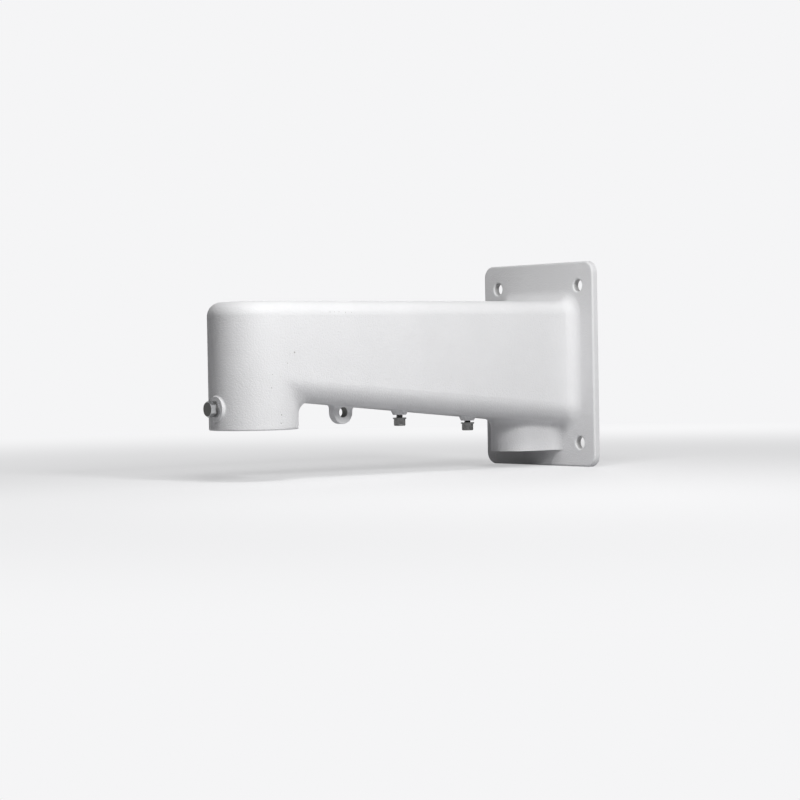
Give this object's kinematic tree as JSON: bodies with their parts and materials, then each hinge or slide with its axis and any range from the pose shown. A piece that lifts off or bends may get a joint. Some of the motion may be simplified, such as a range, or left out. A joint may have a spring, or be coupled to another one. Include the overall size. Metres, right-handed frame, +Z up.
{
  "type": "camera wall bracket",
  "caption": "Hollow cast wall arm for a dome camera: bolted plate, tapering arm and round hanging head with a pipe thread, a lock bolt, a rope ear and a cable entry.",
  "frame": {"origin": "middle of the wall bolt pattern, on the back of the plate, in the plane of the wall", "axes": "+Y points into the wall, the arm runs out along -Y, +Z is up, and X is level along the wall"},
  "size_m": [0.125, 0.311, 0.155],
  "materials": {
    "powder_coat": "fine orange peel, low gloss",
    "screw_steel": "dull, machined",
    "washer_steel": "satin"
  },
  "bodies": {
    "root": {"bracket_casting": "powder_coat", "cap_screw_front": "screw_steel", "cap_screw_washer_front": "washer_steel", "cap_screw_rear": "screw_steel", "cap_screw_washer_rear": "washer_steel", "lock_bolt_flat_washer": "washer_steel", "lock_bolt_spring_washer": "screw_steel", "lock_bolt": "screw_steel"}
  },
  "joints": []
}
